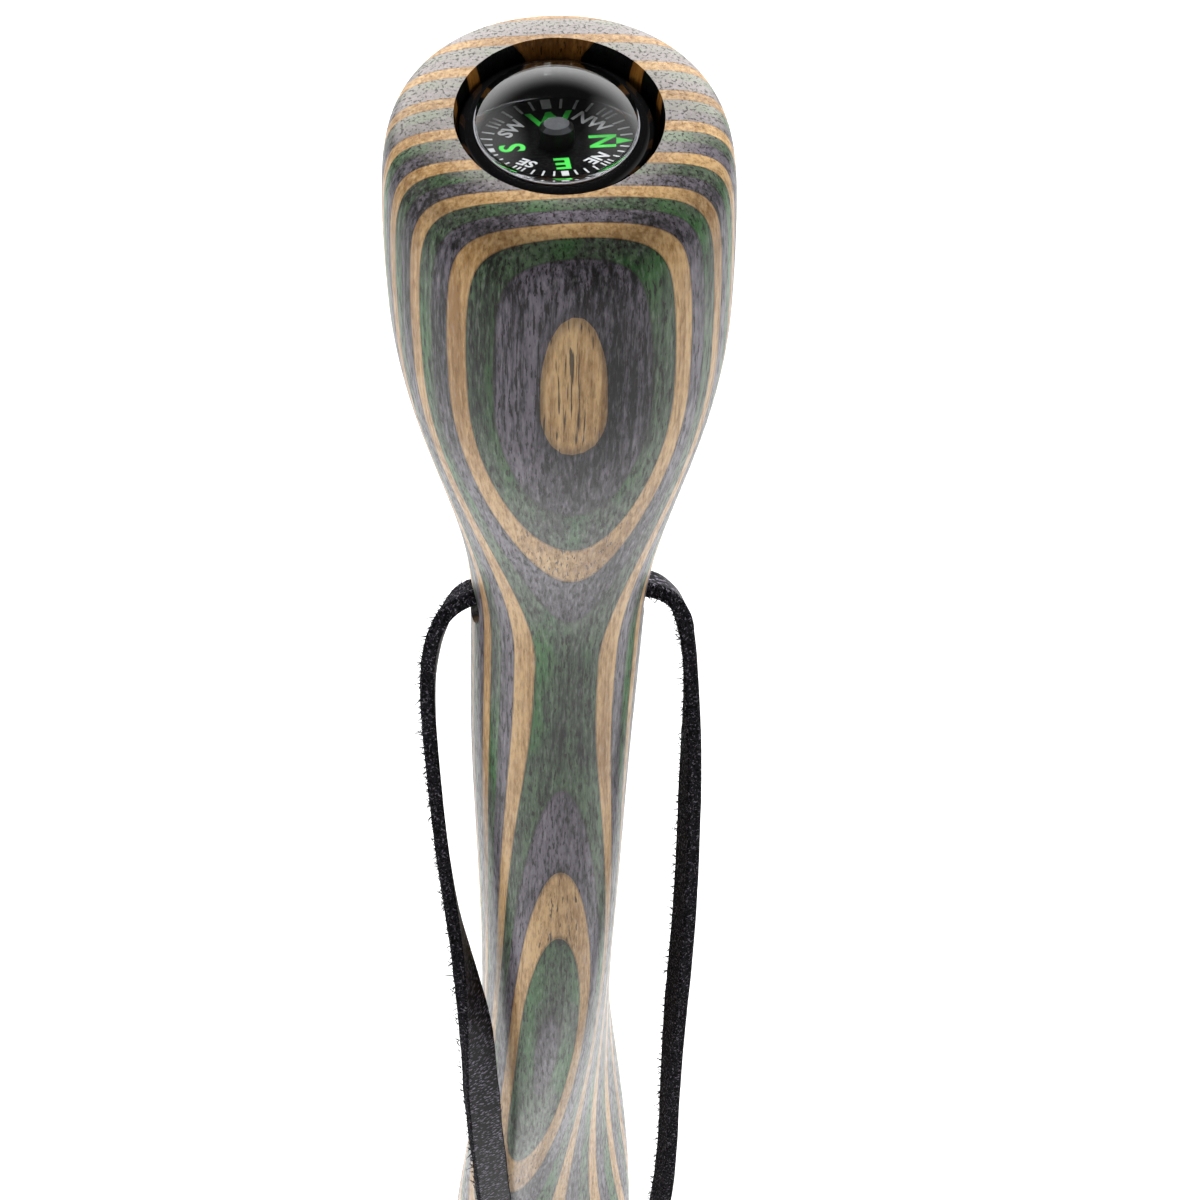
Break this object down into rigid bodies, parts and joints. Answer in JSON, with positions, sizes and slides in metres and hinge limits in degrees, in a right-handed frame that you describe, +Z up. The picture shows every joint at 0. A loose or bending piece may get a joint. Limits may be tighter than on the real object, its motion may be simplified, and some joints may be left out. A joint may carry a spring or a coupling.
{
  "type": "hiking staff",
  "caption": "Hiking staff of laminated dyed wood with a squarish knob head holding a domed compass, a twisted oval shaft, a leather lace wrist strap and a rubber ferrule.",
  "frame": {"origin": "middle of the ferrule's sole, on the staff's axis", "axes": "+Z up the staff's axis towards the head, +X to the right along the strap's cross bore, the front faces -Y with the plies stacked front to back"},
  "size_m": [0.044, 0.0498, 1.3998],
  "materials": {
    "wood_natural": "satin lacquer",
    "wood_purple": "satin lacquer",
    "wood_green": "satin lacquer",
    "compass_black": "gloss",
    "compass_clear": "clear",
    "dial_black": "matte print",
    "hub_grey": "satin",
    "jewel": "polished",
    "magnet": "plain",
    "steel": "plain",
    "leather": "grain side smooth, flesh side rough",
    "rubber": "matte"
  },
  "bodies": {
    "staff": {"ply_01_natural": "wood_natural", "ply_02_purple": "wood_purple", "ply_03_green": "wood_green", "ply_04_natural": "wood_natural", "ply_05_purple": "wood_purple", "ply_06_green": "wood_green", "ply_07_natural": "wood_natural", "ply_08_purple": "wood_purple", "ply_09_green": "wood_green", "ply_10_natural": "wood_natural", "ply_11_purple": "wood_purple", "ply_12_green": "wood_green", "ply_13_natural": "wood_natural", "ply_14_purple": "wood_purple", "ply_15_green": "wood_green", "ply_16_natural": "wood_natural", "ply_17_purple": "wood_purple", "ply_18_green": "wood_green", "ply_19_natural": "wood_natural", "ply_20_purple": "wood_purple", "ply_21_green": "wood_green", "ply_22_natural": "wood_natural", "ply_23_purple": "wood_purple", "ply_24_green": "wood_green", "ply_25_natural": "wood_natural", "ply_26_purple": "wood_purple", "ply_27_green": "wood_green", "compass_case": "compass_black", "compass_lens": "compass_clear", "compass_pivot": "steel", "ferrule": "rubber", "ferrule_washer": "steel"},
    "card": {"compass_card": "dial_black", "card_hub": "hub_grey", "card_jewel": "jewel", "card_magnet": "magnet"},
    "strap": {"strap_bore": "leather", "strap_left": "leather", "strap_right": "leather", "strap_knot": "leather", "strap_tail_left": "leather", "strap_tail_right": "leather"}
  },
  "joints": [
    {"name": "card_turn", "type": "hinge", "parent": "staff", "child": "card", "pos_m": [-0.0003, 0.0003, 1.3932], "axis": [0, 0.4035, 0.915], "continuous": true},
    {"name": "strap_swing", "type": "hinge", "parent": "staff", "child": "strap", "pos_m": [0, 0, 1.306], "axis": [-1, 0, 0], "range_deg": [0, 85]}
  ]
}
